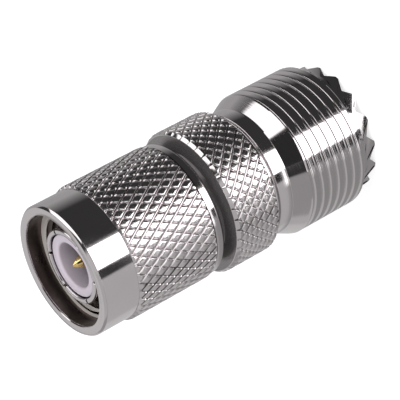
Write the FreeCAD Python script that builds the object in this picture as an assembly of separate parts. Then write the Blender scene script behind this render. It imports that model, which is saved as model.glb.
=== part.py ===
import FreeCAD, Part
import math
import os

# Coax adapter, plug of the 7/16-28 threaded pattern to socket of the 5/8-24 pattern.
# It stands on the tooth tips of its socket end: Z = 0 is the plane of the tips, the
# Z axis is the axis of every turned piece, and the plug's mouth faces up. Millimetres.

# Socket end, outside, stacked upward from the tooth tips
tooth_count = 16
tooth_height = 1.1
tooth_tip_width = 0.4
tooth_turn = 20.0
rim_r = 7.05
rim_length = 2.3
barrel_thread_r = 7.9375
barrel_thread_length = 7.35
run_in_length = 1.85
neck_r = 7.05
neck_length = 1.6
undercut_r = 6.8
undercut_length = 0.8

# Grip, part of the same turned piece. Both knurls have larger diamonds here than in the photo.
grip_r = 7.875
grip_length = 5.5
grip_face_r = 7.6
grip_front_chamfer = 0.35
grip_knurl_count = 32
grip_knurl_angle = 45.0
knurl_depth = 0.32
knurl_wall = 0.12

# Socket end, inside
socket_bore_r = 6.35
socket_bore_depth = 8.9
seat_r = 5.9
seat_length = 4.0
through_bore_r = 3.0
retainer_thickness = 1.0
retainer_gap = 0.1
boss_r = 4.6
boss_recess = 1.6
hub_length = 6.6

# Socket contact and pin
contact_r = 2.85
contact_bore_r = 2.03
contact_bore_depth = 9.5
contact_tip_recess = 1.3
contact_length = 11.1
contact_slot_count = 4
contact_slot_width = 0.5
contact_slot_depth = 8.0
contact_lead_in = 0.3
contact_stem_r = 1.2
contact_stem_length = 8.4
pin_r = 0.685
pin_root_r = 0.85
pin_shoulder_r = 1.2
pin_shoulder_length = 1.8
pin_stud_r = 0.5
pin_stud_length = 1.8
pin_recess = 0.05
pin_cone_length = 1.35
pin_tip_r = 0.13

# Plug end: stem, ferrule, insulator, gasket, snap ring
stem_length = 5.8
ferrule_base_r = 4.3
ferrule_seat_depth = 3.9
ferrule_collar_rise = 1.4
ferrule_recess = 1.1
finger_r = 4.05
finger_tip_chamfer = 0.1
finger_bore_r = 3.5
finger_bore_depth = 6.5
finger_slot_count = 6
finger_slot_width = 0.3
finger_slot_depth = 5.4
finger_slot_turn = 20.0
front_insulator_r = 3.4
front_insulator_recess = 1.35
flange_length = 1.7
well_r = 2.45
well_depth = 5.3
well_chamfer = 0.2
gasket_thickness = 1.2
ring_thickness = 0.8
ring_height_on_stem = 3.0
ring_wall = 1.2
ring_bite = 0.4
ring_gap_angle = 24.0

# Coupling nut
nut_gap = 1.05
nut_length = 14.95
nut_band_r = 7.1
nut_band_length = 4.1
nut_knurl_r = 7.4
nut_knurl_count = 36
nut_knurl_angle = 30.0
nut_rim_r = 7.25
nut_rim_length = 1.15
nut_rim_chamfer = 0.4
nut_front_chamfer = 0.2
nut_front_length = 0.25
mouth_r = 6.0
mouth_depth = 1.9
nut_thread_r = 5.16
nut_thread_length = 6.0
nut_thread_chamfer = 0.15
nut_bore_r = 5.85

# Clearances
running_gap = 0.1
sliding_gap = 0.05
snug_gap = 0.02

# Heights that the stacked lengths give
thread_bottom = rim_length
thread_top = thread_bottom + barrel_thread_length
neck_bottom = thread_top + run_in_length
neck_top = neck_bottom + neck_length
grip_bottom = neck_top + undercut_length
grip_top = grip_bottom + grip_length
shoulder = grip_top + stem_length
nut_bottom = grip_top + nut_gap
nut_top = nut_bottom + nut_length
seat_top = socket_bore_depth + seat_length
ferrule_bottom = shoulder - ferrule_seat_depth
flange_bottom = ferrule_bottom - flange_length
ferrule_tip = nut_top - ferrule_recess
insulator_face = nut_top - front_insulator_recess
pin_shoulder_bottom = contact_tip_recess + contact_length + contact_stem_length
ring_bottom = grip_top + ring_height_on_stem
ring_top = ring_bottom + ring_thickness

# Radii that follow from fits
stem_r = nut_bore_r - running_gap
ring_outer_r = nut_bore_r + ring_bite
ring_inner_r = ring_outer_r - ring_wall
ring_groove_r = ring_inner_r - sliding_gap
nut_groove_r = ring_outer_r + running_gap

UP = FreeCAD.Vector(0, 0, 1)
ORIGIN = FreeCAD.Vector(0, 0, 0)


def turned(outline):
    """Turn a closed outline of (radius, height) points about the Z axis."""
    points = [FreeCAD.Vector(r, 0, z) for r, z in outline]
    face = Part.Face(Part.makePolygon(points + points[:1]))
    return face.revolve(ORIGIN, UP, 360)


def rod(radius, low, high):
    return Part.makeCylinder(radius, high - low, FreeCAD.Vector(0, 0, low))


def save(shape, name):
    if not shape.isValid() or not shape.Solids:
        raise ValueError(name + " is not a sound solid")
    shape.exportStep("parts/" + name + ".step")
    print(name, len(shape.Solids), "solid,", round(shape.Volume, 2), "mm3")


def radial_slots(count, width, low, high, reach, turn=0.0):
    """Blades that stand on the axis and cut one slot each, evenly spaced from the angle turn."""
    blades = []
    for index in range(count):
        blade = Part.makeBox(reach, width, high - low, FreeCAD.Vector(0, -width / 2, low))
        blade.rotate(ORIGIN, UP, turn + 360 * index / count)
        blades.append(blade)
    return Part.makeCompound(blades)


def knurled_ring(peak_r, starts, angle, low, high, hole_r):
    """A ring faced with a diamond knurl: two sets of V grooves crossing at +angle and -angle.

    The crossings and the diamonds' points make a lattice of half pitches, and every cell
    between them is split along its groove. The first and last rows end at groove depth.
    """
    groove_r = peak_r - knurl_depth
    pitch_round = 2 * math.pi * peak_r / starts
    half_pitch_along = pitch_round / math.tan(math.radians(angle)) / 2
    rows = max(2, round((high - low) / half_pitch_along))
    columns = 2 * starts

    def corner(column, row):
        on_peak = (column + row) % 2 == 0 and 0 < row < rows
        radius = peak_r if on_peak else groove_r
        turn = 2 * math.pi * (column % columns) / columns
        height = low + (high - low) * row / rows
        return FreeCAD.Vector(radius * math.cos(turn), radius * math.sin(turn), height)

    faces = []
    for row in range(rows):
        for column in range(columns):
            a = corner(column, row)
            b = corner(column + 1, row)
            c = corner(column + 1, row + 1)
            d = corner(column, row + 1)
            if (column + row) % 2:
                triangles = ((a, b, c), (a, c, d))
            else:
                triangles = ((a, b, d), (b, c, d))
            for p, q, r in triangles:
                faces.append(Part.Face(Part.makePolygon([p, q, r, p])))
    for row in (0, rows):
        rim = [corner(column, row) for column in range(columns)]
        faces.append(Part.Face(Part.makePolygon(rim + rim[:1])))
    shell = Part.makeShell(faces)
    shell.sewShape()
    solid = Part.makeSolid(shell)
    return solid.cut(rod(hole_r, low - 1, high + 1))


def tooth_gaps():
    """The V notches between the teeth of the socket's rim."""
    pitch = 2 * math.pi * rim_r / tooth_count
    half_width = (pitch - tooth_tip_width) / 2
    reach = rim_r + 1
    notch = Part.Face(
        Part.makePolygon(
            [
                FreeCAD.Vector(0, -half_width, 0),
                FreeCAD.Vector(0, 0, tooth_height),
                FreeCAD.Vector(0, half_width, 0),
                FreeCAD.Vector(0, half_width, -1),
                FreeCAD.Vector(0, -half_width, -1),
                FreeCAD.Vector(0, -half_width, 0),
            ]
        )
    ).extrude(FreeCAD.Vector(reach, 0, 0))
    gaps = []
    for index in range(tooth_count):
        gap = notch.copy()
        gap.rotate(ORIGIN, UP, tooth_turn + 360 * (index + 0.5) / tooth_count)
        gaps.append(gap)
    return Part.makeCompound(gaps)


def main_body():
    groove_bottom = ring_bottom - running_gap
    groove_top = ring_top + running_gap
    knurl_core_r = grip_r - knurl_depth - knurl_wall
    outline = [
        (socket_bore_r, 0),
        (rim_r, 0),
        (rim_r, thread_bottom),
        (barrel_thread_r, thread_bottom),
        (barrel_thread_r, thread_top),
        (neck_r, neck_bottom),
        (neck_r, neck_top),
        (undercut_r, neck_top),
        (undercut_r, grip_bottom),
        (knurl_core_r, grip_bottom),
        (knurl_core_r, grip_top - grip_front_chamfer),
        (grip_r, grip_top - grip_front_chamfer),
        (grip_face_r, grip_top),
        (stem_r, grip_top),
        (stem_r, groove_bottom),
        (ring_groove_r, groove_bottom),
        (ring_groove_r, groove_top),
        (stem_r, groove_top),
        (stem_r, shoulder),
        (ferrule_base_r, shoulder),
        (ferrule_base_r, flange_bottom),
        (through_bore_r, flange_bottom),
        (through_bore_r, seat_top),
        (seat_r, seat_top),
        (seat_r, socket_bore_depth),
        (socket_bore_r, socket_bore_depth),
    ]
    body = turned(outline).cut(tooth_gaps())
    knurl_top = grip_top - grip_front_chamfer
    hole_r = knurl_core_r - knurl_wall
    grip = knurled_ring(grip_r, grip_knurl_count, grip_knurl_angle, grip_bottom, knurl_top, hole_r)
    return body.fuse(grip)


def coupling_nut():
    groove_bottom = ring_bottom - running_gap
    groove_top = ring_top + running_gap
    knurl_core_r = nut_knurl_r - knurl_depth - knurl_wall
    knurl_bottom = nut_bottom + nut_rim_length
    knurl_top = nut_top - nut_band_length
    thread_low = nut_top - mouth_depth - nut_thread_length
    outline = [
        (nut_bore_r, nut_bottom),
        (nut_rim_r - nut_rim_chamfer, nut_bottom),
        (nut_rim_r, nut_bottom + nut_rim_chamfer),
        (nut_rim_r, knurl_bottom),
        (knurl_core_r, knurl_bottom),
        (knurl_core_r, knurl_top),
        (nut_band_r, knurl_top),
        (nut_band_r, nut_top - nut_front_length),
        (nut_band_r - nut_front_chamfer, nut_top),
        (mouth_r, nut_top),
        (mouth_r, nut_top - mouth_depth),
        (nut_thread_r + nut_thread_chamfer, nut_top - mouth_depth),
        (nut_thread_r, nut_top - mouth_depth - nut_thread_chamfer),
        (nut_thread_r, thread_low),
        (nut_bore_r, thread_low),
        (nut_bore_r, groove_top),
        (nut_groove_r, groove_top),
        (nut_groove_r, groove_bottom),
        (nut_bore_r, groove_bottom),
    ]
    hole_r = knurl_core_r - knurl_wall
    knurl = knurled_ring(nut_knurl_r, nut_knurl_count, nut_knurl_angle, knurl_bottom, knurl_top, hole_r)
    return turned(outline).fuse(knurl)


def outer_contact():
    collar_top = shoulder + ferrule_collar_rise
    bore_low = ferrule_tip - finger_bore_depth
    outline = [
        (front_insulator_r + snug_gap, ferrule_bottom),
        (ferrule_base_r, ferrule_bottom),
        (ferrule_base_r, collar_top),
        (finger_r, collar_top),
        (finger_r, ferrule_tip - finger_tip_chamfer),
        (finger_r - finger_tip_chamfer, ferrule_tip),
        (finger_bore_r, ferrule_tip),
        (finger_bore_r, bore_low),
        (front_insulator_r + snug_gap, bore_low),
    ]
    slot_floor = ferrule_tip - finger_slot_depth
    reach = finger_r + 1
    slots = radial_slots(
        finger_slot_count, finger_slot_width, slot_floor, ferrule_tip + 1, reach, finger_slot_turn
    )
    return turned(outline).cut(slots)


def front_insulator():
    well_floor = insulator_face - well_depth
    pin_seat = pin_shoulder_bottom + pin_shoulder_length + sliding_gap
    outline = [
        (pin_shoulder_r + sliding_gap, flange_bottom),
        (ferrule_base_r - snug_gap, flange_bottom),
        (ferrule_base_r - snug_gap, ferrule_bottom),
        (front_insulator_r, ferrule_bottom),
        (front_insulator_r, insulator_face),
        (well_r + well_chamfer, insulator_face),
        (well_r, insulator_face - well_chamfer),
        (well_r, well_floor),
        (pin_root_r + sliding_gap, well_floor),
        (pin_root_r + sliding_gap, pin_seat),
        (pin_shoulder_r + sliding_gap, pin_seat),
    ]
    return turned(outline)


def centre_pin():
    shank_bottom = pin_shoulder_bottom + pin_shoulder_length
    tip = insulator_face - pin_recess
    outline = [
        (0, pin_shoulder_bottom - pin_stud_length),
        (pin_stud_r, pin_shoulder_bottom - pin_stud_length),
        (pin_stud_r, pin_shoulder_bottom),
        (pin_shoulder_r, pin_shoulder_bottom),
        (pin_shoulder_r, shank_bottom),
        (pin_root_r, shank_bottom),
        (pin_root_r, insulator_face - well_depth),
        (pin_r, insulator_face - well_depth),
        (pin_r, tip - pin_cone_length),
        (pin_tip_r, tip),
        (0, tip),
    ]
    return turned(outline)


def gasket():
    top = shoulder + gasket_thickness
    return rod(stem_r - running_gap, shoulder, top).cut(rod(ferrule_base_r + sliding_gap, shoulder - 1, top + 1))


def snap_ring():
    ring = rod(ring_outer_r, ring_bottom, ring_top).cut(rod(ring_inner_r, ring_bottom - 1, ring_top + 1))
    opening = Part.makeCylinder(
        ring_outer_r + 1, ring_thickness + 2, FreeCAD.Vector(0, 0, ring_bottom - 1), UP, ring_gap_angle
    )
    return ring.cut(opening)


def rear_insulator():
    contact_top = contact_tip_recess + contact_length + sliding_gap
    outline = [
        (contact_r + sliding_gap, boss_recess),
        (boss_r, boss_recess),
        (boss_r, socket_bore_depth),
        (seat_r - snug_gap, socket_bore_depth),
        (seat_r - snug_gap, seat_top),
        (through_bore_r - snug_gap, seat_top),
        (through_bore_r - snug_gap, seat_top + hub_length),
        (contact_stem_r + sliding_gap, seat_top + hub_length),
        (contact_stem_r + sliding_gap, contact_top),
        (contact_r + sliding_gap, contact_top),
    ]
    return turned(outline)


def retaining_ring():
    low = socket_bore_depth - retainer_thickness
    ring = rod(socket_bore_r, low, socket_bore_depth)
    return ring.cut(rod(boss_r + retainer_gap, low - 1, socket_bore_depth + 1))


def socket_contact():
    tip = contact_tip_recess
    body_top = tip + contact_length
    stud_floor = pin_shoulder_bottom - pin_stud_length - sliding_gap
    outline = [
        (contact_bore_r + contact_lead_in, tip),
        (contact_r, tip),
        (contact_r, body_top),
        (contact_stem_r, body_top),
        (contact_stem_r, pin_shoulder_bottom),
        (pin_stud_r + snug_gap, pin_shoulder_bottom),
        (pin_stud_r + snug_gap, stud_floor),
        (0, stud_floor),
        (0, tip + contact_bore_depth),
        (contact_bore_r, tip + contact_bore_depth),
        (contact_bore_r, tip + contact_lead_in),
    ]
    slots = radial_slots(contact_slot_count, contact_slot_width, tip - 1, tip + contact_slot_depth, contact_r + 1)
    return turned(outline).cut(slots)


os.makedirs("parts", exist_ok=True)
save(main_body(), "main_body")
save(coupling_nut(), "coupling_nut")
save(outer_contact(), "outer_contact")
save(front_insulator(), "front_insulator")
save(centre_pin(), "centre_pin")
save(gasket(), "gasket")
save(snap_ring(), "snap_ring")
save(rear_insulator(), "rear_insulator")
save(retaining_ring(), "retaining_ring")
save(socket_contact(), "socket_contact")
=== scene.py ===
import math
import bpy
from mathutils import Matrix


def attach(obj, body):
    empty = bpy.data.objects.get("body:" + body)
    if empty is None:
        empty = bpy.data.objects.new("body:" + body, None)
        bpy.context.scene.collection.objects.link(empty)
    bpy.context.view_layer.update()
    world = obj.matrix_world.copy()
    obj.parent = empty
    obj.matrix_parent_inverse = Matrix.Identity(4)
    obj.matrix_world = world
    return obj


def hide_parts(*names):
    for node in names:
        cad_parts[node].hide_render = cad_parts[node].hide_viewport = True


bl_info = {
    "name": "Coax adapter",
    "version": (1, 0, 0),
    "blender": (4, 5, 0),
    "location": "View3D > Sidebar > Adapter",
    "description": "Coax adapter: plated metal, threads, knurls, insulators and stage",
    "category": "Object",
}

import bpy
from bpy.props import FloatProperty, FloatVectorProperty, PointerProperty
from mathutils import Quaternion, Vector

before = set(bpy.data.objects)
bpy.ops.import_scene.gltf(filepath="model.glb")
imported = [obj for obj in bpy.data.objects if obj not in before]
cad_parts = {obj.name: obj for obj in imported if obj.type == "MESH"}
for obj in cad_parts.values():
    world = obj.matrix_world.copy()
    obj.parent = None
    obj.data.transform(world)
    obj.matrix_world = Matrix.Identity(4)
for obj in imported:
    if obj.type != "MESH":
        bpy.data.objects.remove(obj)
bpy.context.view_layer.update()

MM = 0.001
TAU = 2 * math.pi

# Sizes of the solids, in millimetres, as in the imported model
TOOTH_COUNT = 16
TOOTH_HEIGHT = 1.1
TOOTH_TIP_WIDTH = 0.4
TOOTH_TURN = 20.0
RIM_R = 7.05
THREAD_R = 7.9375
THREAD_BOTTOM = 2.3
THREAD_TOP = 9.65
NECK_R = 7.05
NECK_BOTTOM = 11.5
NECK_TOP = 13.1
UNDERCUT_R = 6.8
GRIP_BOTTOM = 13.9
GRIP_TOP = 19.4
GRIP_R = 7.875
GRIP_FACE_R = 7.6
GRIP_CHAMFER = 0.35
GRIP_STARTS = 40
GRIP_ANGLE = 45.0
STEM_R = 5.75
RING_GROOVE_R = 5.0
GROOVE_LOW = 22.3
GROOVE_HIGH = 23.3
SHOULDER = 25.2
FERRULE_BASE_R = 4.3
FERRULE_LOW = 21.3
FLANGE_LOW = 19.6
THROUGH_R = 3.0
SEAT_R = 5.9
SEAT_TOP = 12.9
SOCKET_R = 6.35
SOCKET_DEPTH = 8.9
NUT_BOTTOM = 20.45
NUT_TOP = 35.4
NUT_BORE_R = 5.85
NUT_GROOVE_R = 6.35
NUT_RIM_R = 7.25
NUT_RIM_TOP = 21.6
NUT_RIM_CHAMFER = 0.4
NUT_BAND_R = 7.1
NUT_BAND_LOW = 31.3
NUT_FRONT_LENGTH = 0.25
NUT_FRONT_CHAMFER = 0.2
NUT_KNURL_R = 7.4
NUT_STARTS = 45
NUT_ANGLE = 30.0
MOUTH_R = 6.0
MOUTH_FLOOR = 33.5
NUT_THREAD_R = 5.16
NUT_THREAD_LOW = 27.5
FERRULE_TIP = 34.3
COLLAR_TOP = 26.6
FINGER_R = 4.05
FINGER_BORE_R = 3.5
FINGER_BORE_LOW = 27.8
FINGERS = 6
FINGER_TURN = 20.0
SLOT_LOW = 28.9
SLOT_WIDTH = 0.3
INSULATOR_R = 3.4
INSULATOR_FACE = 34.05
WELL_R = 2.45
WELL_FLOOR = 28.75
PIN_R = 0.685
PIN_ROOT_R = 0.85
PIN_TIP = 34.0
PIN_CONE_LOW = 32.65
PIN_STUD_R = 0.5
PIN_STUD_LOW = 19.0
PIN_SHOULDER_R = 1.2
PIN_SHOULDER_LOW = 20.8
PIN_SHOULDER_TOP = 22.6
CONTACT_R = 2.85
CONTACT_TOP = 12.4
CONTACT_STEM_R = 1.2
BOSS_R = 4.6
BOSS_LOW = 1.6
HUB_TOP = 19.5
SLIDING_GAP = 0.05
SNUG_GAP = 0.02

# Columns of points to each start of a knurl, and the lift of each from the groove to the flat top
KNURL_SAMPLES = 10
KNURL_LIFTS = (0.0, 0.76, 0.97, 1.0, 1.0, 1.0)

# Half widths of a thread groove's root and of the easing at its edges, in millimetres
THREAD_ROOT = 0.03
THREAD_LIP = 0.05

# Columns of points round the plain turned pieces and the thin pin
ROUND_COLUMNS = 144
PIN_COLUMNS = 64

# The camera, in metres, and the brightness of the studio between its panels
CAMERA_LENS = 180.0
CAMERA_SPOT = (0.084038, -0.158053, 0.115183)
CAMERA_TURN = (0.606422, 0.147947, 0.489531, -0.608871)
STUDIO_AZIMUTH = 62.0
STUDIO_LEVEL = 0.74


class AdapterSizes(bpy.types.PropertyGroup):
    """Sizes of the detail that is finer than the solids"""

    thread_pitch: FloatProperty(
        name="Barrel thread pitch",
        description="Rise of the barrel's thread in one turn",
        default=1.0583 * MM,
        unit="LENGTH",
    )
    thread_depth: FloatProperty(
        name="Barrel thread depth",
        description="Depth of the barrel's thread groove",
        default=0.1 * MM,
        unit="LENGTH",
    )
    nut_thread_pitch: FloatProperty(
        name="Nut thread pitch",
        description="Rise of the nut's thread in one turn",
        default=0.9071 * MM,
        unit="LENGTH",
    )
    nut_thread_depth: FloatProperty(
        name="Nut thread depth",
        description="Depth of the nut's inside thread",
        default=0.48 * MM,
        unit="LENGTH",
    )
    knurl_depth: FloatProperty(
        name="Knurl depth",
        description="Depth of the diamond knurls",
        default=0.17 * MM,
        unit="LENGTH",
    )


class AdapterFinish(bpy.types.PropertyGroup):
    """Colours and polish of the adapter's materials"""

    nickel: FloatVectorProperty(
        name="Nickel",
        description="Colour of the plating",
        subtype="COLOR",
        size=4,
        default=(0.75, 0.705, 0.715, 1),
    )
    nickel_roughness: FloatProperty(
        name="Nickel roughness",
        description="Polish of the plating",
        default=0.09,
        min=0,
        max=1,
    )
    # painted shade: a much darker copy of the plating for the nut's inside
    nickel_in_shade: FloatVectorProperty(
        name="Nickel in painted shade",
        description="Colour of the nut's inside, darkened as painted shade",
        subtype="COLOR",
        size=4,
        default=(0.16, 0.13, 0.122, 1),
    )
    satin_nickel: FloatVectorProperty(
        name="Satin nickel",
        description="Colour of the step behind the nut's mouth",
        subtype="COLOR",
        size=4,
        default=(0.72, 0.67, 0.635, 1),
    )
    spring_steel: FloatVectorProperty(
        name="Spring steel",
        description="Colour of the nut's snap ring",
        subtype="COLOR",
        size=4,
        default=(0.5, 0.5, 0.52, 1),
    )
    gold: FloatVectorProperty(
        name="Gold",
        description="Colour of the contacts",
        subtype="COLOR",
        size=4,
        default=(1.0, 0.74, 0.32, 1),
    )
    insulator: FloatVectorProperty(
        name="Insulator",
        description="Colour of the insulators",
        subtype="COLOR",
        size=4,
        default=(0.64, 0.575, 0.65, 1),
    )
    gasket: FloatVectorProperty(
        name="Gasket",
        description="Colour of the soft ring",
        subtype="COLOR",
        size=4,
        default=(0.30, 0.29, 0.28, 1),
    )


# Mesh helpers


class Shell:
    """A closed skin built from rings of points about the Z axis. Lengths are in millimetres."""

    def __init__(self, columns):
        self.columns = columns
        self.points = []
        self.faces = []

    def ring(self, radius, height, turn=None):
        """Add a ring. Each argument is one number, or a list with one for each column."""
        first = len(self.points)
        for i in range(self.columns):
            r = radius[i] if isinstance(radius, list) else radius
            z = height[i] if isinstance(height, list) else height
            angle = turn[i] if turn else TAU * i / self.columns
            self.points.append((r * math.cos(angle), r * math.sin(angle), z))
        return list(range(first, first + self.columns))

    def face(self, *corners):
        """Add a face, and leave out a corner that is there already or a face without area."""
        kept = []
        for corner in corners:
            if corner not in kept:
                kept.append(corner)
        if len(kept) > 2:
            self.faces.append(tuple(kept))

    def join(self, lower, upper):
        """Fill the strip between two rings."""
        for i in range(self.columns):
            j = (i + 1) % self.columns
            self.face(lower[i], lower[j], upper[j], upper[i])

    def follow(self, ring, outline):
        """Carry the skin from a ring through each (radius, height) of an outline."""
        for radius, height in outline:
            upper = self.ring(radius, height)
            self.join(ring, upper)
            ring = upper
        return ring

    def turned(self, outline):
        """Turn an outline whose last point leads back to its first."""
        first = self.ring(*outline[0])
        self.join(self.follow(first, outline[1:]), first)

    def cap(self, ring, height, flip=False):
        """Close a ring on the axis."""
        centre = len(self.points)
        self.points.append((0, 0, height))
        for i in range(self.columns):
            j = (i + 1) % self.columns
            if flip:
                self.face(ring[j], ring[i], centre)
            else:
                self.face(ring[i], ring[j], centre)

    def knurl(self, lower, low, high, peak_r, depth, angle, run_out):
        """Diamond knurl: two families of narrow grooves cross between flat tops. The run-out is
        the greatest radius at a height, which eases the knurl in at its ends."""
        samples = KNURL_SAMPLES
        step = TAU * peak_r / self.columns / math.tan(math.radians(angle))
        half = samples // 2
        rows = max(half, round((high - low) / step / half) * half)
        ring = lower
        for row in range(rows + 1):
            height = low + (high - low) * row / rows
            radius = []
            for i in range(self.columns):
                first = (i + row) % samples
                second = (i - row) % samples
                near = min(first, samples - first, second, samples - second)
                knurled_r = peak_r - depth * (1 - KNURL_LIFTS[near])
                radius.append(min(knurled_r, run_out(height)))
            upper = self.ring(radius, height)
            if row == 0:
                self.join(ring, upper)
            else:
                self.lattice(ring, upper, row - 1)
            ring = upper
        return ring

    def lattice(self, lower, upper, row):
        """One row of knurl cells, each split along the crease that crosses it."""
        samples = KNURL_SAMPLES
        creases = (0, 1, 2, samples - 2, samples - 1)
        for i in range(self.columns):
            j = (i + 1) % self.columns
            a, b, c, d = lower[i], lower[j], upper[j], upper[i]
            if (i + row + 1) % samples in creases:
                self.face(a, b, d)
                self.face(b, c, d)
            elif (i - row) % samples in creases:
                self.face(a, b, c)
                self.face(a, c, d)
            else:
                self.face(a, b, c, d)

    def thread_end(self, height, start, pitch, radius_at):
        """The ring that a thread from the height start shows where it is cut across."""
        phases = [(height - start) / pitch - i / self.columns for i in range(self.columns)]
        return self.ring([radius_at(height, phase) for phase in phases], height)

    def thread(self, lower, low, upper, high, pitch, stations, radius_at):
        """Right-hand thread between two rings. Its rows climb with the helix, so that each edge
        of the groove is a line of points, and they merge with the rings where they meet them."""
        per_turn = len(stations)
        turns = math.ceil((high - low) / pitch) + 1
        count = per_turn * (turns + 1)
        columns = []
        for i in range(self.columns):
            share = i / self.columns
            column = []
            for k in range(-per_turn, count + per_turn + 1):
                height = low + (k // per_turn + stations[k % per_turn] + share) * pitch
                if height <= low + 1e-4:
                    column.append(lower[i])
                elif height >= high - 1e-4:
                    column.append(upper[i])
                else:
                    radius = radius_at(height, stations[k % per_turn])
                    angle = TAU * share
                    column.append(len(self.points))
                    self.points.append((radius * math.cos(angle), radius * math.sin(angle), height))
            columns.append(column)
        columns.append(columns[0][per_turn:])
        for i in range(self.columns):
            left, right = columns[i], columns[i + 1]
            for k in range(len(right) - 1):
                self.face(left[k], right[k], right[k + 1], left[k + 1])

    def piece(self, name, body, slot, node, material, angle=30.0, linings=()):
        """Make the object, smooth but for its sharp edges, in place of its CAD node.
        Each lining is a material with a test of radius and height that picks its faces."""
        mesh = bpy.data.meshes.new(name)
        mesh.from_pydata([(x * MM, y * MM, z * MM) for x, y, z in self.points], [], self.faces)
        mesh.validate()
        mesh.materials.append(material)
        for index, (lining, is_lined) in enumerate(linings, start=1):
            mesh.materials.append(lining)
            for face in mesh.polygons:
                x, y, z = face.center / MM
                if is_lined(math.hypot(x, y), z):
                    face.material_index = index
        mesh.shade_smooth()
        mesh.set_sharp_from_angle(angle=math.radians(angle))
        piece = bpy.data.objects.new(name, mesh)
        bpy.context.scene.collection.objects.link(piece)
        weighted = piece.modifiers.new("even shading", "WEIGHTED_NORMAL")
        weighted.keep_sharp = True
        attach(piece, body)
        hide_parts(node)
        return piece


def rounded(points, steps=3):
    """Round the corners of an open outline of (radius, height[, rounding])."""
    out = []
    for index, point in enumerate(points):
        size = point[2] if len(point) > 2 else 0
        if not size or index in (0, len(points) - 1):
            out.append(point[:2])
            continue
        here = Vector(point[:2])
        back = Vector(points[index - 1][:2]) - here
        ahead = Vector(points[index + 1][:2]) - here
        turn = math.pi - back.angle(ahead)
        reach = min(size * math.tan(turn / 2), back.length * 0.48, ahead.length * 0.48)
        start = here + back.normalized() * reach
        end = here + ahead.normalized() * reach
        for step in range(steps + 1):
            t = step / steps
            spot = start * (1 - t) ** 2 + here * 2 * t * (1 - t) + end * t**2
            out.append((spot.x, spot.y))
    return out


def groove_form(crest_r, depth, width, pitch, outward=1):
    """Stations through one pitch of thread, and the radius at any phase between them."""
    half = width / 2 / pitch
    lip = THREAD_LIP / pitch
    root = THREAD_ROOT / pitch
    # one flank of the groove as (station, depth), from its root to the crest
    flank = [
        (0.0, depth),
        (root, depth * 0.96),
        (half - lip, lip / half * depth),
        (half, 0.02),
        (half + 2 * lip, 0.0),
    ]
    crest = [(0.35, 0.0), (0.5, 0.0), (0.65, 0.0)]
    other_flank = [(1 - station, cut) for station, cut in reversed(flank[1:])]
    stations, cuts = (list(column) for column in zip(*flank, *crest, *other_flank))
    spans = list(zip(stations, cuts, stations[1:] + [1.0], cuts[1:] + cuts[:1]))

    def cut_at(phase):
        phase = phase % 1.0
        for s0, d0, s1, d1 in spans:
            if s0 <= phase <= s1:
                return d0 + (d1 - d0) * (phase - s0) / (s1 - s0)
        return 0.0

    return stations, lambda phase: crest_r - outward * cut_at(phase)


# Shader helpers


def node_group(name, inputs, outputs):
    """A new shader group with its sockets, and its input and output nodes."""
    group = bpy.data.node_groups.new(name, "ShaderNodeTree")
    for kind, socket, default in inputs:
        made = group.interface.new_socket(socket, in_out="INPUT", socket_type=kind)
        made.default_value = default
    for kind, socket in outputs:
        group.interface.new_socket(socket, in_out="OUTPUT", socket_type=kind)
    nodes = group.nodes
    return group, nodes.new("NodeGroupInput"), nodes.new("NodeGroupOutput")


def math_node(tree, operation, first, second=None):
    """The result of a Math node on one or two numbers or sockets."""
    node = tree.nodes.new("ShaderNodeMath")
    node.operation = operation
    for socket, value in zip(node.inputs, (first, second)):
        if value is None:
            continue
        if isinstance(value, (int, float)):
            socket.default_value = value
        else:
            tree.links.new(value, socket)
    return node.outputs[0]


def turning_group():
    """Fine rings that a turning tool leaves, as a height, with faint blotches as a mask."""
    group, entry, leave = node_group(
        "Turning marks",
        [
            ("NodeSocketFloat", "Rings per metre", 9000.0),
            ("NodeSocketFloat", "Blotch scale", 260.0),
        ],
        [("NodeSocketFloat", "Height"), ("NodeSocketFloat", "Blotch")],
    )
    place = group.nodes.new("ShaderNodeTexCoord")
    split = group.nodes.new("ShaderNodeSeparateXYZ")
    group.links.new(place.outputs["Object"], split.inputs[0])
    x, y, z = split.outputs
    x_squared = math_node(group, "MULTIPLY", x, x)
    y_squared = math_node(group, "MULTIPLY", y, y)
    radius = math_node(group, "SQRT", math_node(group, "ADD", x_squared, y_squared))
    along = math_node(group, "ADD", z, radius)
    position = math_node(group, "MULTIPLY", along, entry.outputs["Rings per metre"])
    rings = group.nodes.new("ShaderNodeTexNoise")
    rings.noise_dimensions = "1D"
    rings.inputs["Scale"].default_value = 1.0
    rings.inputs["Detail"].default_value = 3.0
    group.links.new(position, rings.inputs["W"])
    blotch = group.nodes.new("ShaderNodeTexNoise")
    blotch.inputs["Detail"].default_value = 3.0
    group.links.new(place.outputs["Object"], blotch.inputs["Vector"])
    group.links.new(entry.outputs["Blotch scale"], blotch.inputs["Scale"])
    group.links.new(rings.outputs["Fac"], leave.inputs["Height"])
    group.links.new(blotch.outputs["Fac"], leave.inputs["Blotch"])
    return group


def crevice_group():
    """How open a spot is: 1 on free faces, towards 0 in deep grooves and gaps. It is the mask of
    the painted shade in crevices.
    """
    group, entry, leave = node_group(
        "Crevices",
        [
            ("NodeSocketFloat", "Reach", 0.8 * MM),
            ("NodeSocketFloat", "Closed", 0.2),
            ("NodeSocketFloat", "Open", 0.65),
        ],
        [("NodeSocketFloat", "Openness")],
    )
    closeness = group.nodes.new("ShaderNodeAmbientOcclusion")
    closeness.samples = 8
    curve = group.nodes.new("ShaderNodeMapRange")
    curve.interpolation_type = "SMOOTHSTEP"
    group.links.new(entry.outputs["Reach"], closeness.inputs["Distance"])
    group.links.new(closeness.outputs["AO"], curve.inputs["Value"])
    group.links.new(entry.outputs["Closed"], curve.inputs["From Min"])
    group.links.new(entry.outputs["Open"], curve.inputs["From Max"])
    group.links.new(curve.outputs["Result"], leave.inputs["Openness"])
    return group


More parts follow.
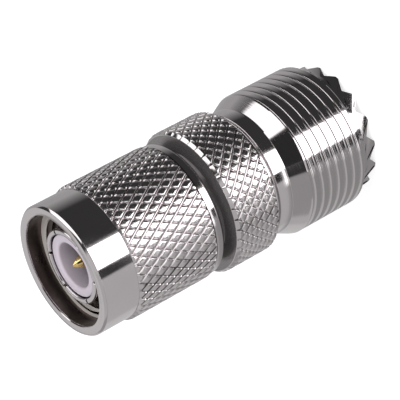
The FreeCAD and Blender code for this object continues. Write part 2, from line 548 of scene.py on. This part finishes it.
def place_group(material, name, build, **settings):
    """Put a shared group into a material, with the material's own values."""
    node = material.node_tree.nodes.new("ShaderNodeGroup")
    node.node_tree = bpy.data.node_groups.get(name) or build()
    for socket, value in settings.items():
        node.inputs[socket].default_value = value
    return node


def ranged(tree, value, low, high):
    """Spread the middle of a noise over a range."""
    node = tree.nodes.new("ShaderNodeMapRange")
    tree.links.new(value, node.inputs["Value"])
    node.inputs["From Min"].default_value = 0.3
    node.inputs["From Max"].default_value = 0.7
    node.inputs["To Min"].default_value = low
    node.inputs["To Max"].default_value = high
    return node.outputs["Result"]


def tinted(tree, value, dark, light):
    """Mix two colours by a mask."""
    node = tree.nodes.new("ShaderNodeMix")
    node.data_type = "RGBA"
    tree.links.new(value, node.inputs["Factor"])
    node.inputs["A"].default_value = dark
    node.inputs["B"].default_value = light
    return node.outputs["Result"]


def shade(colour, factor):
    """A colour made darker or lighter."""
    return tuple(channel * factor for channel in colour[:3]) + (1,)


def wear_and_shade_material(name, colour, roughness, tints, polish, relief, **closeness):
    """A material with turning marks, faint blotches and painted shade that darkens its crevices.
    Tints and polish are the shares of its colour and its roughness that the blotches range over."""
    material = bpy.data.materials.new(name)
    material.use_nodes = True
    tree = material.node_tree
    shader = tree.nodes["Principled BSDF"]
    marks = place_group(material, "Turning marks", turning_group)
    crevices = place_group(material, "Crevices", crevice_group, **closeness)
    blotch = marks.outputs["Blotch"]
    clean = tinted(tree, blotch, shade(colour, tints[0]), shade(colour, tints[1]))
    # painted shade: the colour darkens to a tenth of itself where a spot is closed, in grooves,
    # gaps and recesses
    crevice_shaded = tinted(tree, crevices.outputs["Openness"], shade(colour, 0.1), (1, 1, 1, 1))
    tree.links.new(clean, crevice_shaded.node.inputs["B"])
    tree.links.new(crevice_shaded, shader.inputs["Base Color"])
    worn = ranged(tree, blotch, roughness * polish[0], roughness * polish[1])
    tree.links.new(worn, shader.inputs["Roughness"])
    bump = tree.nodes.new("ShaderNodeBump")
    bump.inputs["Strength"].default_value = relief
    bump.inputs["Distance"].default_value = 0.02 * MM
    tree.links.new(marks.outputs["Height"], bump.inputs["Height"])
    tree.links.new(bump.outputs["Normal"], shader.inputs["Normal"])
    return material, shader


def metal_material(name, colour, roughness, metallic=1.0, **closeness):
    material, shader = wear_and_shade_material(
        name, colour, roughness, (0.94, 1.04), (0.75, 1.3), 0.06, **closeness
    )
    shader.inputs["Metallic"].default_value = metallic
    return material


def plastic_material(name, colour, roughness, subsurface=0.0):
    # painted shade: the plastics darken in their wells and hollows, over a reach of 5 mm
    closeness = {"Reach": 5.0 * MM, "Closed": -0.3, "Open": 0.9}
    material, shader = wear_and_shade_material(
        name, colour, roughness, (0.95, 1.03), (0.85, 1.15), 0.08, **closeness
    )
    if subsurface:
        shader.inputs["Subsurface Weight"].default_value = subsurface
        shader.inputs["Subsurface Radius"].default_value = (0.8 * MM, 0.7 * MM, 0.8 * MM)
        shader.inputs["Subsurface Scale"].default_value = 1.0
    return material


def material_named(name):
    """The material of a finish, made the first time that a piece asks for it."""
    if name in bpy.data.materials:
        return bpy.data.materials[name]
    finish = bpy.context.scene.adapter_finish
    # Reach, Closed and Open set the painted shade in crevices. Shaded nickel is a darker copy of
    # the plating: painted shade for the faces inside the nut
    shaded = {"metallic": 0.75, "Closed": -0.5}
    knurled = {"Reach": 0.25 * MM, "Closed": 0.12, "Open": 0.65}
    satin = {"metallic": 0.35, "Closed": -0.2, "Open": 0.5}
    metals = {
        "plated nickel": (finish.nickel, finish.nickel_roughness, {}),
        "nickel in painted shade": (finish.nickel_in_shade, 0.3, {}),
        "shaded nickel": (shade(finish.nickel, 0.42), 0.22, shaded),
        "knurled nickel": (finish.nickel, 0.17, knurled),
        "satin nickel": (finish.satin_nickel, 0.5, satin),
        "gold contact": (finish.gold, 0.1, {}),
        "spring steel wire": (finish.spring_steel, 0.3, {}),
    }
    if name in metals:
        colour, roughness, settings = metals[name]
        return metal_material(name, colour, roughness, **settings)
    if name == "white insulator":
        return plastic_material(name, finish.insulator, 0.42, 0.25)
    return plastic_material(name, finish.gasket, 0.6)


# Pieces


def finish_node(name, material):
    """Give a solid that stays as it was packed its finish."""
    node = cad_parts[name]
    node.data.materials.clear()
    node.data.materials.append(material)


class ADAPTER_OT_body(bpy.types.Operator):
    """Turned body: toothed rim, threaded barrel, neck, knurled grip and stem"""

    bl_idname = "adapter.body"
    bl_label = "Body"

    def execute(self, context):
        sizes = context.scene.adapter_sizes
        shell = Shell(KNURL_SAMPLES * GRIP_STARTS)
        turns, tooth_z = self.teeth(shell.columns)
        edge = 0.06
        eased_z = [z + edge for z in tooth_z]
        first = shell.ring(RIM_R, eased_z, turns)
        ring = shell.follow(first, [(RIM_R, THREAD_BOTTOM - 0.9), (RIM_R, THREAD_BOTTOM)])
        ring = self.barrel(shell, ring, sizes)
        neck = rounded(
            [
                (NECK_R, NECK_BOTTOM),
                (NECK_R, NECK_BOTTOM + 0.04),
                (NECK_R, NECK_TOP, 0.1),
                (UNDERCUT_R, NECK_TOP + 0.1, 0.1),
                (UNDERCUT_R, GRIP_BOTTOM, 0.05),
                (GRIP_R - 0.45, GRIP_BOTTOM),
            ]
        )
        ring = shell.follow(ring, neck[1:])
        knurl_top = GRIP_TOP - GRIP_CHAMFER
        depth = sizes.knurl_depth / MM

        def run_out(z):
            return GRIP_R - 0.4 + (z - GRIP_BOTTOM) * 2.5

        ring = shell.knurl(ring, GRIP_BOTTOM, knurl_top, GRIP_R, depth, GRIP_ANGLE, run_out)
        inner = rounded(
            [
                (GRIP_R, knurl_top),
                (GRIP_FACE_R, GRIP_TOP, 0.08),
                (STEM_R, GRIP_TOP, 0.1),
                (STEM_R, GROOVE_LOW),
                (RING_GROOVE_R, GROOVE_LOW),
                (RING_GROOVE_R, GROOVE_HIGH),
                (STEM_R, GROOVE_HIGH),
                (STEM_R, SHOULDER, 0.1),
                (FERRULE_BASE_R, SHOULDER, 0.05),
                (FERRULE_BASE_R, FLANGE_LOW),
                (THROUGH_R, FLANGE_LOW),
                (THROUGH_R, SEAT_TOP),
                (SEAT_R, SEAT_TOP),
                (SEAT_R, SOCKET_DEPTH),
                (SOCKET_R, SOCKET_DEPTH),
                (SOCKET_R, TOOTH_HEIGHT + 0.4),
            ]
        )
        ring = shell.follow(ring, inner[1:])
        in_wall = shell.ring(SOCKET_R, eased_z, turns)
        in_edge = shell.ring(SOCKET_R + edge, tooth_z, turns)
        out_edge = shell.ring(RIM_R - edge, tooth_z, turns)
        shell.join(ring, in_wall)
        shell.join(in_wall, in_edge)
        shell.join(in_edge, out_edge)
        shell.join(out_edge, first)

        # painted shade: the grip's front face and the stem inside the nut get the darker shaded
        # nickel
        def in_the_nut(r, z):
            return r < GRIP_FACE_R - 0.08 and z > GRIP_TOP - 0.02

        def on_the_knurl(r, z):
            return r > GRIP_R - 0.5 and GRIP_BOTTOM < z < knurl_top

        linings = [
            (material_named("shaded nickel"), in_the_nut),
            (material_named("knurled nickel"), on_the_knurl),
        ]
        plated = material_named("plated nickel")
        shell.piece("body", "adapter", "nickel", "main_body", plated, linings=linings)
        return {"FINISHED"}

    def teeth(self, columns):
        """Angles and heights of the rim's edge: flat tips with V notches between them."""
        # where the columns stand in a tooth's pitch, closer together at the corners of its tip
        half = [0.015, 0.045, 0.062, 0.078, 0.1, 0.14, 0.2, 0.26, 0.33, 0.39, 0.44, 0.475]
        places = [-0.5] + [-x for x in reversed(half)] + half
        tip = TOOTH_TIP_WIDTH / (TAU * RIM_R / TOOTH_COUNT) / 2
        turns = []
        heights = []
        for i in range(columns):
            tooth, step = divmod(i + len(places) // 2, len(places))
            place = places[step]
            turns.append(TAU * (tooth + place) / TOOTH_COUNT + math.radians(TOOTH_TURN))
            rise = max(0.0, (abs(place) - tip) / (0.5 - tip))
            heights.append(TOOTH_HEIGHT * rise)
        return turns, heights

    def barrel(self, shell, ring, sizes):
        """Outside thread, which runs out at the rim and on the cone to the neck."""
        pitch = sizes.thread_pitch / MM
        depth = sizes.thread_depth / MM
        stations, form = groove_form(THREAD_R, depth, 0.22, pitch)
        slope = (THREAD_R - NECK_R) / (NECK_BOTTOM - THREAD_TOP)

        def radius_at(z, phase):
            cone = THREAD_R - max(0.0, z - THREAD_TOP) * slope
            run_out = THREAD_R - 0.14 + (z - THREAD_BOTTOM) * 0.9
            return min(form(phase), cone, run_out)

        low = shell.thread_end(THREAD_BOTTOM, THREAD_BOTTOM, pitch, radius_at)
        high = shell.thread_end(NECK_BOTTOM, THREAD_BOTTOM, pitch, radius_at)
        shell.join(ring, low)
        shell.thread(low, THREAD_BOTTOM, high, NECK_BOTTOM, pitch, stations, radius_at)
        return high


class ADAPTER_OT_nut(bpy.types.Operator):
    """Coupling nut: plain band, diamond knurl, rear rim, mouth and inside thread"""

    bl_idname = "adapter.nut"
    bl_label = "Coupling nut"

    def execute(self, context):
        sizes = context.scene.adapter_sizes
        shell = Shell(KNURL_SAMPLES * NUT_STARTS)
        rear = rounded(
            [
                (NUT_BORE_R, NUT_BOTTOM + 1.0),
                (NUT_BORE_R, NUT_BOTTOM, 0.12),
                (NUT_RIM_R - NUT_RIM_CHAMFER, NUT_BOTTOM, 0.15),
                (NUT_RIM_R, NUT_BOTTOM + NUT_RIM_CHAMFER, 0.3),
                (NUT_RIM_R, NUT_RIM_TOP),
            ]
        )
        first = shell.ring(*rear[0])
        ring = shell.follow(first, rear[1:])
        depth = sizes.knurl_depth / MM
        low, high = NUT_RIM_TOP, NUT_BAND_LOW

        def run_out(z):
            return min(NUT_KNURL_R, NUT_BAND_R + 0.02 + min(z - low, high - z) * 1.4)

        ring = shell.knurl(ring, low, high, NUT_KNURL_R, depth, NUT_ANGLE, run_out)
        front = rounded(
            [
                (NUT_BAND_R, NUT_BAND_LOW),
                (NUT_BAND_R, NUT_TOP - NUT_FRONT_LENGTH, 0.1),
                (NUT_BAND_R - NUT_FRONT_CHAMFER, NUT_TOP, 0.08),
                (MOUTH_R, NUT_TOP, 0.2),
                (MOUTH_R, MOUTH_FLOOR, 0.08),
                (NUT_THREAD_R + 0.12, MOUTH_FLOOR),
            ]
        )
        ring = shell.follow(ring, front)
        ring = self.inside_thread(shell, ring, sizes)
        back = [
            (NUT_BORE_R, NUT_THREAD_LOW),
            (NUT_BORE_R, GROOVE_HIGH),
            (NUT_GROOVE_R, GROOVE_HIGH),
            (NUT_GROOVE_R, GROOVE_LOW),
            (NUT_BORE_R, GROOVE_LOW),
        ]
        ring = shell.follow(ring, back)
        shell.join(ring, first)

        # painted shade: the mouth's wall, the inside thread and the bore get a much darker copy of
        # the plating
        def inside(r, z):
            return r < MOUTH_R + 0.5 and z < NUT_TOP - 0.2

        def on_the_step(r, z):
            return r < MOUTH_R - 0.03 and abs(z - MOUTH_FLOOR) < 0.4

        def on_the_knurl(r, z):
            return r > NUT_BAND_R - 0.2 and low < z < high

        linings = [
            (material_named("nickel in painted shade"), inside),
            (material_named("satin nickel"), on_the_step),
            (material_named("knurled nickel"), on_the_knurl),
        ]
        plated = material_named("plated nickel")
        shell.piece("nut", "nut", "nickel", "coupling_nut", plated, linings=linings)
        return {"FINISHED"}

    def inside_thread(self, shell, ring, sizes):
        """Inside thread from the mouth's step down to the rear bore."""
        pitch = sizes.nut_thread_pitch / MM
        depth = sizes.nut_thread_depth / MM
        stations, form = groove_form(NUT_THREAD_R, depth, 0.78, pitch, outward=-1)
        low_z, high_z = NUT_THREAD_LOW, MOUTH_FLOOR

        def radius_at(z, phase):
            lead = NUT_THREAD_R + 0.12 - (high_z - z)
            return max(form(phase), lead)

        high = shell.thread_end(high_z, low_z, pitch, radius_at)
        low = shell.thread_end(low_z, low_z, pitch, radius_at)
        shell.join(ring, high)
        start = len(shell.faces)
        shell.thread(low, low_z, high, high_z, pitch, stations, radius_at)
        shell.faces[start:] = [tuple(reversed(face)) for face in shell.faces[start:]]
        return low


class ADAPTER_OT_ferrule(bpy.types.Operator):
    """Slotted ferrule: six spring fingers on a collar"""

    bl_idname = "adapter.ferrule"
    bl_label = "Slotted ferrule"

    def execute(self, context):
        shell = Shell(ROUND_COLUMNS)
        base = rounded(
            [
                (INSULATOR_R + SNUG_GAP, FERRULE_LOW),
                (FERRULE_BASE_R, FERRULE_LOW, 0.05),
                (FERRULE_BASE_R, COLLAR_TOP, 0.12),
                (FINGER_R, COLLAR_TOP, 0.06),
                (FINGER_R, SLOT_LOW),
                (FINGER_BORE_R, SLOT_LOW),
                (FINGER_BORE_R, FINGER_BORE_LOW),
                (INSULATOR_R + SNUG_GAP, FINGER_BORE_LOW),
            ]
        )
        shell.turned(base)
        for finger in range(FINGERS):
            self.finger(shell, finger)
        plated = material_named("plated nickel")
        shell.piece("ferrule", "adapter", "nickel", "outer_contact", plated)
        return {"FINISHED"}

    def finger(self, shell, index, steps=20):
        """One finger: a rounded section swept between two slots, with eased ends."""
        section = rounded(
            [
                (FINGER_BORE_R, SLOT_LOW - 0.3),
                (FINGER_R, SLOT_LOW - 0.3),
                (FINGER_R, FERRULE_TIP - 0.12, 0.12),
                (FINGER_R - 0.1, FERRULE_TIP, 0.08),
                (FINGER_BORE_R + 0.05, FERRULE_TIP, 0.08),
                (FINGER_BORE_R, FERRULE_TIP - 0.08, 0.05),
                (FINGER_BORE_R, SLOT_LOW - 0.3),
            ]
        )[:-1]
        centre_r = (FINGER_BORE_R + FINGER_R) / 2
        middle_z = (SLOT_LOW + FERRULE_TIP) / 2
        rings = []
        for step in range(-1, steps + 2):
            eased = step in (-1, steps + 1)
            share = min(1.0, max(0.0, step / steps))
            loop = []
            for radius, height in section:
                shrink = 0.03 if eased else 0.0
                r = radius + math.copysign(shrink, centre_r - radius)
                z = height + math.copysign(shrink, middle_z - height)
                inset = (SLOT_WIDTH / 2 + (0.0 if eased else 0.03)) / radius
                low = TAU * index / FINGERS + inset
                high = TAU * (index + 1) / FINGERS - inset
                angle = math.radians(FINGER_TURN) + low + (high - low) * share
                loop.append(len(shell.points))
                shell.points.append((r * math.cos(angle), r * math.sin(angle), z))
            rings.append(loop)
        count = len(section)
        for left, right in zip(rings, rings[1:]):
            for i in range(count):
                j = (i + 1) % count
                shell.face(left[i], right[i], right[j], left[j])
        shell.face(*rings[0])
        shell.face(*reversed(rings[-1]))


class ADAPTER_OT_insulators(bpy.types.Operator):
    """White insulators at the plug and at the socket"""

    bl_idname = "adapter.insulators"
    bl_label = "Insulators"

    def execute(self, context):
        white = material_named("white insulator")
        self.plug_insulator(white)
        self.socket_insulator(white)
        return {"FINISHED"}

    def plug_insulator(self, white):
        shell = Shell(ROUND_COLUMNS)
        hole_r = PIN_ROOT_R + SLIDING_GAP
        seam = 27.0  # where the outline starts and ends, on the wall of the hole
        front = rounded(
            [
                (hole_r, seam),
                (hole_r, PIN_SHOULDER_TOP + SLIDING_GAP),
                (PIN_SHOULDER_R + SLIDING_GAP, PIN_SHOULDER_TOP + SLIDING_GAP),
                (PIN_SHOULDER_R + SLIDING_GAP, FLANGE_LOW),
                (FERRULE_BASE_R - SNUG_GAP, FLANGE_LOW, 0.05),
                (FERRULE_BASE_R - SNUG_GAP, FERRULE_LOW),
                (INSULATOR_R, FERRULE_LOW),
                (INSULATOR_R, INSULATOR_FACE, 0.1),
                (WELL_R, INSULATOR_FACE, 0.32),
                (WELL_R, WELL_FLOOR, 0.3),
                (hole_r, WELL_FLOOR, 0.05),
                (hole_r, seam),
            ],
            steps=5,
        )
        shell.turned(front[:-1])
        shell.piece("plug_insulator", "adapter", "ptfe", "front_insulator", white)

    def socket_insulator(self, white):
        shell = Shell(ROUND_COLUMNS)
        hole_r = CONTACT_R + SLIDING_GAP
        seam = 5.0  # where the outline starts and ends, on the wall of the hole
        rear = rounded(
            [
                (hole_r, seam),
                (hole_r, BOSS_LOW, 0.12),
                (BOSS_R, BOSS_LOW, 0.15),
                (BOSS_R, SOCKET_DEPTH, 0.05),
                (SEAT_R - SNUG_GAP, SOCKET_DEPTH, 0.05),
                (SEAT_R - SNUG_GAP, SEAT_TOP),
                (THROUGH_R - SNUG_GAP, SEAT_TOP),
                (THROUGH_R - SNUG_GAP, HUB_TOP),
                (CONTACT_STEM_R + SLIDING_GAP, HUB_TOP),
                (CONTACT_STEM_R + SLIDING_GAP, CONTACT_TOP + SLIDING_GAP),
                (hole_r, CONTACT_TOP + SLIDING_GAP),
                (hole_r, seam),
            ],
            steps=4,
        )
        shell.turned(rear[:-1])
        shell.faces = [tuple(reversed(face)) for face in shell.faces]
        shell.piece("socket_insulator", "adapter", "ptfe", "rear_insulator", white)


class ADAPTER_OT_contacts(bpy.types.Operator):
    """Gold contacts: the pointed pin and the slotted socket"""

    bl_idname = "adapter.contacts"
    bl_label = "Contacts"

    def execute(self, context):
        gold = material_named("gold contact")
        shell = Shell(PIN_COLUMNS)
        # the point is a little fuller than a plain cone
        outline = rounded(
            [
                (PIN_STUD_R, PIN_STUD_LOW),
                (PIN_STUD_R, PIN_SHOULDER_LOW),
                (PIN_SHOULDER_R, PIN_SHOULDER_LOW, 0.05),
                (PIN_SHOULDER_R, PIN_SHOULDER_TOP, 0.05),
                (PIN_ROOT_R, PIN_SHOULDER_TOP),
                (PIN_ROOT_R, WELL_FLOOR, 0.05),
                (PIN_R, WELL_FLOOR, 0.02),
                (PIN_R, PIN_CONE_LOW, 0.2),
                (0.61, PIN_CONE_LOW + 0.5, 0.2),
                (0.38, PIN_TIP - 0.36, 0.15),
                (0.12, PIN_TIP - 0.02, 0.06),
                (0.02, PIN_TIP),
            ],
            steps=5,
        )
        first = shell.ring(*outline[0])
        shell.cap(first, PIN_STUD_LOW, flip=True)
        ring = shell.follow(first, outline[1:])
        shell.cap(ring, PIN_TIP)
        shell.piece("plug_pin", "adapter", "gold", "centre_pin", gold, angle=40)
        finish_node("socket_contact", gold)
        return {"FINISHED"}


class ADAPTER_OT_rings(bpy.types.Operator):
    """Gasket, spring ring and retaining ring"""

    bl_idname = "adapter.rings"
    bl_label = "Rings"

    def execute(self, context):
        finishes = {
            "gasket": "soft gasket",
            "snap_ring": "spring steel wire",
            "retaining_ring": "plated nickel",
        }
        for name, finish in finishes.items():
            finish_node(name, material_named(finish))
        return {"FINISHED"}


# Stage


def band(tree, value, low, high, soft):
    """1 between two limits of a value, 0 outside them, with soft edges."""
    rise = tree.nodes.new("ShaderNodeMapRange")
    rise.inputs["From Min"].default_value = low - soft
    rise.inputs["From Max"].default_value = low + soft
    fall = tree.nodes.new("ShaderNodeMapRange")
    fall.inputs["From Min"].default_value = high + soft
    fall.inputs["From Max"].default_value = high - soft
    tree.links.new(value, rise.inputs["Value"])
    tree.links.new(value, fall.inputs["Value"])
    return math_node(tree, "MULTIPLY", rise.outputs["Result"], fall.outputs["Result"])


# Panels of the studio that the metal reflects: name, azimuth from the camera's side in degrees,
# height as a share of the sky, brightness, and softness of the upright edges in degrees. Later
# ones lie over earlier ones.
STUDIO = [
    ("table", (-130, -36), (-1.0, 1.0), 0.62, 4),
    ("table's far end", (-200, -36), (-1.0, -0.486), 0.37, 4),
    ("table's edge", (-200, -36), (0.0, 0.36), 0.42, 4),
    ("gap", (-40, -23), (-1.0, 0.35), 0.04, 1.5),
    ("far wall", (12, 140), (-1.0, 1.0), 0.05, 6),
    ("upper gap", (-24, 26), (-0.05, 0.62), 0.035, 1.5),
    ("side wall", (108, 190), (-1.0, 0.2), 0.5, 16),
    ("key light", (-24, 12), (-1.0, -0.05), 4.5, 0.6),
    ("key light over the knurl", (-46, 26), (-0.26, -0.05), 1.5, 6),
    ("key light under the knurl", (-46, 26), (-1.0, -0.72), 1.5, 6),
    ("side light", (30, 110), (0.10, 0.75), 2.0, 1.5),
    ("key light, wide middle", (-50, -20), (-0.487, -0.476), 4.5, 5),
]


class ADAPTER_OT_stage(bpy.types.Operator):
    """Floor, white surroundings, soft lamps and the camera"""

    bl_idname = "adapter.stage"
    bl_label = "Stage"

    def execute(self, context):
        scene = context.scene
        scene.view_settings.view_transform = "Standard"
        self.floor()
        self.surroundings(scene)
        self.lamps()
        self.camera(scene)
        return {"FINISHED"}

    def floor(self):
        mesh = bpy.data.meshes.new("floor")
        size = 2.0
        corners = [(-size, -size, 0), (size, -size, 0), (size, size, 0), (-size, size, 0)]
        mesh.from_pydata(corners, [], [(0, 1, 2, 3)])
        material = bpy.data.materials.new("pale floor")
        material.use_nodes = True
        tree = material.node_tree
        tree.nodes.clear()
        out = tree.nodes.new("ShaderNodeOutputMaterial")
        diffuse = tree.nodes.new("ShaderNodeBsdfDiffuse")
        diffuse.inputs["Color"].default_value = (0.55, 0.55, 0.55, 1)
        glow = tree.nodes.new("ShaderNodeEmission")
        rays = tree.nodes.new("ShaderNodeLightPath")
        both = tree.nodes.new("ShaderNodeAddShader")
        seen = math_node(tree, "MULTIPLY", rays.outputs["Is Camera Ray"], 0.72)
        tree.links.new(seen, glow.inputs["Strength"])
        tree.links.new(diffuse.outputs[0], both.inputs[0])
        tree.links.new(glow.outputs[0], both.inputs[1])
        tree.links.new(both.outputs[0], out.inputs["Surface"])
        mesh.materials.append(material)
        floor = bpy.data.objects.new("floor", mesh)
        floor.visible_glossy = False
        bpy.context.scene.collection.objects.link(floor)

    def surroundings(self, scene):
        """White to the camera. Glossy rays see the studio's panels by direction."""
        world = bpy.data.worlds.new("studio")
        scene.world = world
        world.use_nodes = True
        tree = world.node_tree
        tree.nodes.clear()
        studio = self.background(tree, self.panels(tree))
        soft = self.background(tree, 0.55)
        white = self.background(tree, 1.0)
        rays = tree.nodes.new("ShaderNodeLightPath")
        lit = self.mix(tree, rays.outputs["Is Glossy Ray"], soft, studio)
        seen = self.mix(tree, rays.outputs["Is Camera Ray"], lit, white)
        out = tree.nodes.new("ShaderNodeOutputWorld")
        tree.links.new(seen, out.inputs["Surface"])

    def background(self, tree, strength):
        node = tree.nodes.new("ShaderNodeBackground")
        if isinstance(strength, float):
            node.inputs["Strength"].default_value = strength
        else:
            tree.links.new(strength, node.inputs["Strength"])
        return node.outputs[0]

    def mix(self, tree, share, first, second):
        node = tree.nodes.new("ShaderNodeMixShader")
        for socket, value in zip(node.inputs, (share, first, second)):
            tree.links.new(value, socket)
        return node.outputs[0]

    def panels(self, tree):
        """Brightness of the studio in each direction."""
        place = tree.nodes.new("ShaderNodeTexCoord")
        split = tree.nodes.new("ShaderNodeSeparateXYZ")
        tree.links.new(place.outputs["Generated"], split.inputs[0])
        # turn the azimuth so that 0 faces the camera
        turned = tree.nodes.new("ShaderNodeVectorRotate")
        turned.rotation_type = "Z_AXIS"
        turned.inputs["Angle"].default_value = math.radians(STUDIO_AZIMUTH)
        tree.links.new(place.outputs["Generated"], turned.inputs["Vector"])
        flat = tree.nodes.new("ShaderNodeSeparateXYZ")
        tree.links.new(turned.outputs[0], flat.inputs[0])
        radians = math_node(tree, "ARCTAN2", flat.outputs[1], flat.outputs[0])
        azimuth = math_node(tree, "MULTIPLY", radians, 180 / math.pi)
        level = None
        for name, (left, right), (low, high), brightness, soft in STUDIO:
            across = band(tree, azimuth, left, right, soft)
            upward = band(tree, split.outputs[2], low - 0.01, high, 0.02)
            mask = math_node(tree, "MULTIPLY", across, upward)
            mix = tree.nodes.new("ShaderNodeMix")
            mix.label = name
            tree.links.new(mask, mix.inputs["Factor"])
            mix.inputs["A"].default_value = STUDIO_LEVEL
            if level is not None:
                tree.links.new(level, mix.inputs["A"])
            mix.inputs["B"].default_value = brightness
            level = mix.outputs["Result"]
        return level

    def lamps(self):
        for name, spot, size, power in (
            ("key lamp", (0.39, -0.18, 0.45), 0.3, 2.0),
            ("fill lamp", (-0.25, -0.37, 0.3), 0.4, 1.0),
        ):
            lamp = bpy.data.lights.new(name, "AREA")
            lamp.size = size
            lamp.energy = power
            thing = bpy.data.objects.new(name, lamp)
            thing.location = spot
            thing.rotation_mode = "QUATERNION"
            aim = Vector(spot) - Vector((0, 0, 0.02))
            thing.rotation_quaternion = aim.to_track_quat("Z", "Y")
            thing.visible_glossy = False
            bpy.context.scene.collection.objects.link(thing)

    def camera(self, scene):
        lens = bpy.data.cameras.new("camera")
        lens.sensor_width = 36.0
        lens.lens = CAMERA_LENS
        lens.clip_start = 0.01
        lens.clip_end = 10.0
        camera = bpy.data.objects.new("camera", lens)
        camera.rotation_mode = "QUATERNION"
        camera.location = CAMERA_SPOT
        camera.rotation_quaternion = Quaternion(CAMERA_TURN)
        scene.collection.objects.link(camera)
        scene.camera = camera


class ADAPTER_PT_panel(bpy.types.Panel):
    """Lists the adapter's pieces, sizes and finishes"""

    bl_idname = "ADAPTER_PT_panel"
    bl_label = "Adapter"
    bl_space_type = "VIEW_3D"
    bl_region_type = "UI"
    bl_category = "Adapter"

    def draw(self, context):
        layout = self.layout
        for group in (context.scene.adapter_sizes, context.scene.adapter_finish):
            for name in group.__annotations__:
                layout.prop(group, name)
        for operator in OPERATORS:
            layout.operator(operator.bl_idname)


OPERATORS = (
    ADAPTER_OT_body,
    ADAPTER_OT_nut,
    ADAPTER_OT_ferrule,
    ADAPTER_OT_insulators,
    ADAPTER_OT_contacts,
    ADAPTER_OT_rings,
    ADAPTER_OT_stage,
)
CLASSES = (AdapterSizes, AdapterFinish) + OPERATORS + (ADAPTER_PT_panel,)


def register():
    for cls in CLASSES:
        bpy.utils.register_class(cls)
    bpy.types.Scene.adapter_sizes = PointerProperty(type=AdapterSizes)
    bpy.types.Scene.adapter_finish = PointerProperty(type=AdapterFinish)


def unregister():
    del bpy.types.Scene.adapter_finish
    del bpy.types.Scene.adapter_sizes
    for cls in reversed(CLASSES):
        bpy.utils.unregister_class(cls)


def main():
    register()
    bpy.ops.adapter.body()
    bpy.ops.adapter.nut()
    bpy.ops.adapter.ferrule()
    bpy.ops.adapter.insulators()
    bpy.ops.adapter.contacts()
    bpy.ops.adapter.rings()
    bpy.ops.adapter.stage()


if __name__ == "__main__":
    main()
